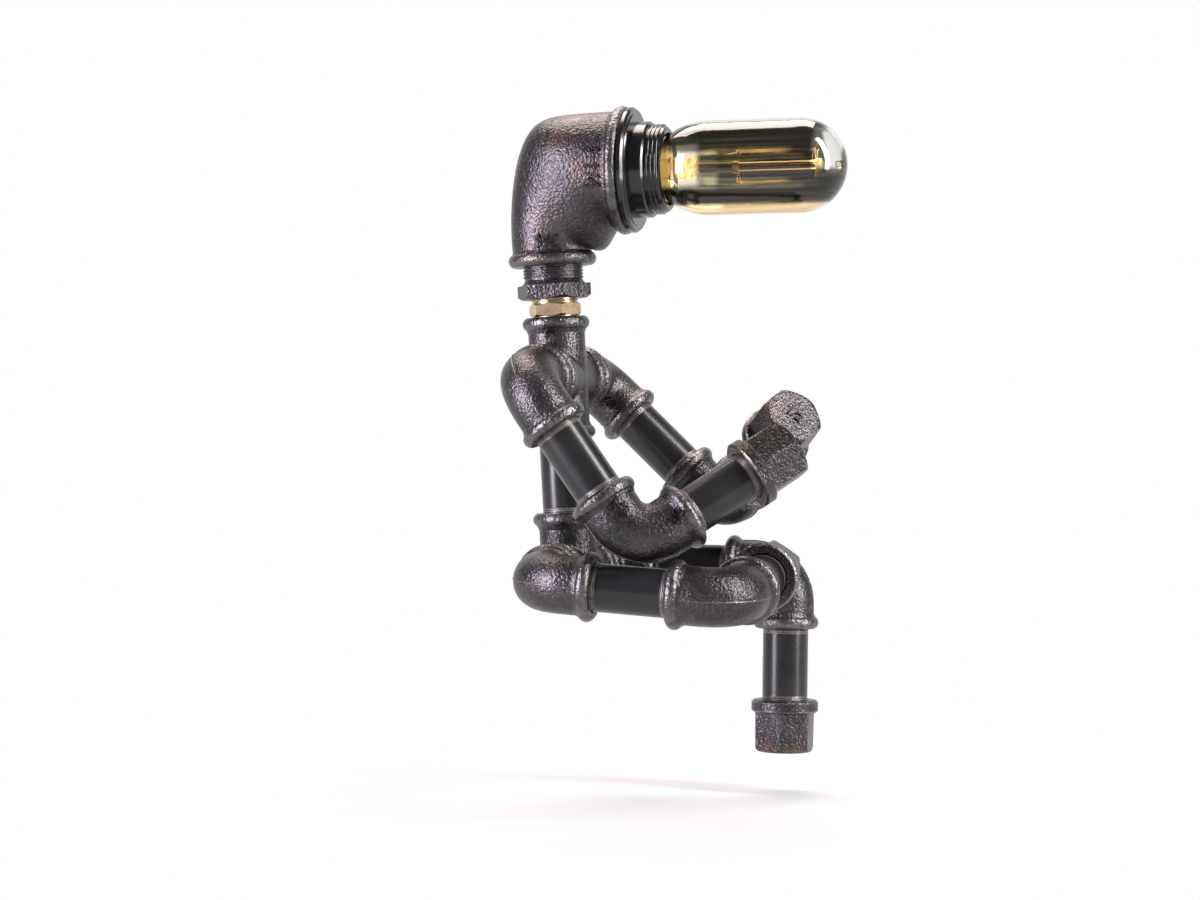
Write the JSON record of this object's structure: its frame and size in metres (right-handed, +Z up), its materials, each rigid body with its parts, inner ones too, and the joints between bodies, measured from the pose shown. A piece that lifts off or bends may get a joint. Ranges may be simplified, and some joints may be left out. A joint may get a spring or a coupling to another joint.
{
  "type": "robot shaped desk lamp",
  "caption": "Desk lamp in the form of a seated figure, built from black iron pipe fittings with turning joints, its head holding a tubular amber bulb.",
  "frame": {"origin": "under the centre of the hip tee, on the level seat plane that touches the underside of the hip tee's beads", "axes": "+X the way the figure faces and the bulb points, +Z up, +Y the figure's left"},
  "size_m": [0.1572, 0.1508, 0.3009],
  "materials": {
    "black_iron": "black malleable iron casting, satin, fine pebbled skin with lighter worn beads",
    "black_pipe": "smooth black steel pipe, glossy",
    "cap_iron": "coarse-grained black malleable iron",
    "brass": "polished brass, lightly aged",
    "rubber": "matt black rubber",
    "lead_sleeve": "black braided sleeve",
    "bakelite": "black bakelite, glossy",
    "ceramic_core": "white glazed ceramic",
    "spring_brass": "bare spring brass",
    "plated_screw": "zinc plated steel",
    "amber_glass": "smoked gold tinted clear glass",
    "solder": "dull solder",
    "stem_glass": "clear glass",
    "support_wire": "warm nickel wire",
    "filament_gold": "fine golden filament wire"
  },
  "bodies": {
    "torso": {"hip_tee": "black_iron", "spine_pipe": "black_pipe", "chest_cross": "black_iron", "right_shoulder_nipple": "black_pipe", "left_shoulder_nipple": "black_pipe", "right_hip_nipple": "black_pipe", "left_hip_nipple": "black_pipe", "brass_neck_nipple": "brass", "cord_grommet": "rubber", "spine_lead": "lead_sleeve"},
    "head": {"neck_bushing": "black_iron", "head_elbow": "black_iron", "holder_ring": "bakelite", "holder_body": "bakelite", "holder_core": "ceramic_core", "screw_shell": "brass", "centre_contact": "spring_brass", "terminal_screws": "plated_screw", "head_lead": "lead_sleeve"},
    "bulb": {"bulb_glass": "amber_glass", "bulb_cap": "brass", "bulb_insulator": "bakelite", "bulb_contact": "solder", "bulb_stem": "stem_glass", "filament_supports": "support_wire", "filament": "filament_gold", "bulb_lead_wires": "support_wire"},
    "right_upper_arm": {"right_shoulder_elbow": "black_iron", "right_upper_arm_pipe": "black_pipe"},
    "right_forearm": {"right_elbow": "black_iron", "right_forearm_pipe": "black_pipe", "right_hand_cap": "cap_iron"},
    "left_upper_arm": {"left_shoulder_elbow": "black_iron", "left_upper_arm_pipe": "black_pipe"},
    "left_forearm": {"left_elbow": "black_iron", "left_forearm_pipe": "black_pipe", "left_hand_cap": "cap_iron"},
    "right_thigh": {"right_hip_elbow": "black_iron", "right_thigh_pipe": "black_pipe"},
    "right_shin": {"right_knee_elbow": "black_iron", "right_shin_pipe": "black_pipe", "right_foot_cap": "cap_iron"},
    "left_thigh": {"left_hip_elbow": "black_iron", "left_thigh_pipe": "black_pipe"},
    "left_shin": {"left_knee_elbow": "black_iron", "left_shin_pipe": "black_pipe", "left_foot_cap": "cap_iron"}
  },
  "joints": [
    {"name": "neck_swivel", "type": "hinge", "parent": "torso", "child": "head", "pos_m": [-0.00422, 0, 0.105], "axis": [-0.0471, 0, 0.9989], "range_deg": [-120, 120]},
    {"name": "bulb_turn", "type": "hinge", "parent": "head", "child": "bulb", "pos_m": [-0.00867, 0, 0.1993], "axis": [1, 0, 0], "range_deg": [0, 90]},
    {"name": "right_shoulder_swing", "type": "hinge", "parent": "torso", "child": "right_upper_arm", "pos_m": [-0.00422, -0.06, 0.105], "axis": [0, -1, 0], "range_deg": [-1, 35]},
    {"name": "right_elbow_turn", "type": "hinge", "parent": "right_upper_arm", "child": "right_forearm", "pos_m": [0.04658, -0.06, 0.03108], "axis": [0.5664, 0, -0.8241], "range_deg": [0, 95]},
    {"name": "left_shoulder_swing", "type": "hinge", "parent": "torso", "child": "left_upper_arm", "pos_m": [-0.00422, 0.06, 0.105], "axis": [0, -1, 0], "range_deg": [-2, 35]},
    {"name": "left_elbow_turn", "type": "hinge", "parent": "left_upper_arm", "child": "left_forearm", "pos_m": [0.05986, 0.06, 0.04224], "axis": [-0.7145, 0, 0.6997], "range_deg": [0, 110]},
    {"name": "right_hip_swing", "type": "hinge", "parent": "torso", "child": "right_thigh", "pos_m": [0, -0.0596, 0.0154], "axis": [0, 1, 0], "range_deg": [0, 90]},
    {"name": "right_knee_turn", "type": "hinge", "parent": "right_thigh", "child": "right_shin", "pos_m": [0.08944, -0.0596, 0.00852], "axis": [-0.9971, 0, 0.0767], "range_deg": [0, 180]},
    {"name": "left_hip_swing", "type": "hinge", "parent": "torso", "child": "left_thigh", "pos_m": [0, 0.0596, 0.0154], "axis": [0, 1, 0], "range_deg": [-2, 90]},
    {"name": "left_knee_turn", "type": "hinge", "parent": "left_thigh", "child": "left_shin", "pos_m": [0.08969, 0.0596, 0.01415], "axis": [0.9999, 0, -0.014], "range_deg": [-40, 110]}
  ]
}
